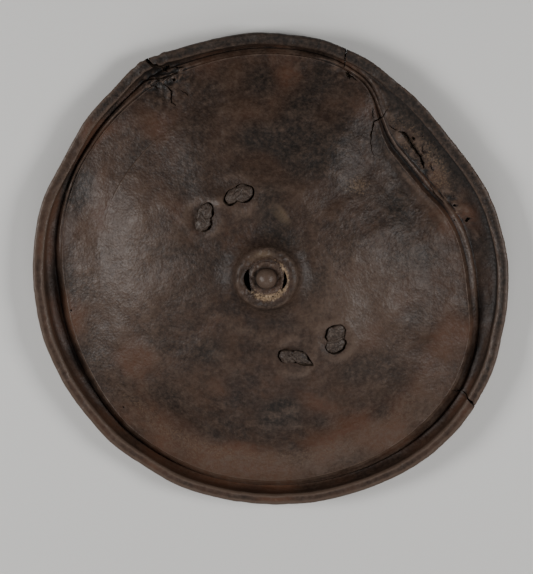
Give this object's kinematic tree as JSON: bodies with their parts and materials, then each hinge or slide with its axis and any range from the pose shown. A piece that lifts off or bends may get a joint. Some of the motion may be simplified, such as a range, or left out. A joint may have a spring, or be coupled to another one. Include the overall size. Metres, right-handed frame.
{
  "type": "hide buckler shield",
  "caption": "Old round shield of moulded hide with a knobbed boss, an upturned rim, folded thong knots and a sleeved thong grip on its back.",
  "frame": {"origin": "centre of the plan outline, on the plane that the shield lies on", "axes": "+Z out of the shield's front through the boss, +Y towards the edge that the picture shows at the top, +X to the right as the front is seen"},
  "size_m": [0.5044, 0.5036, 0.09],
  "materials": {
    "dark_hide": "old dark brown rawhide, dull, rubbed lighter on the rim's edges and the boss, with reddish and tan patches",
    "thong_hide": "greyish brown rawhide thong, dull and dry",
    "sleeve_hide": "brown hide, slightly polished by the hand"
  },
  "bodies": {
    "root": {"hide_shell": "dark_hide", "handle_thong_a": "thong_hide", "handle_thong_b": "thong_hide", "grip_sleeve": "sleeve_hide"}
  },
  "joints": []
}
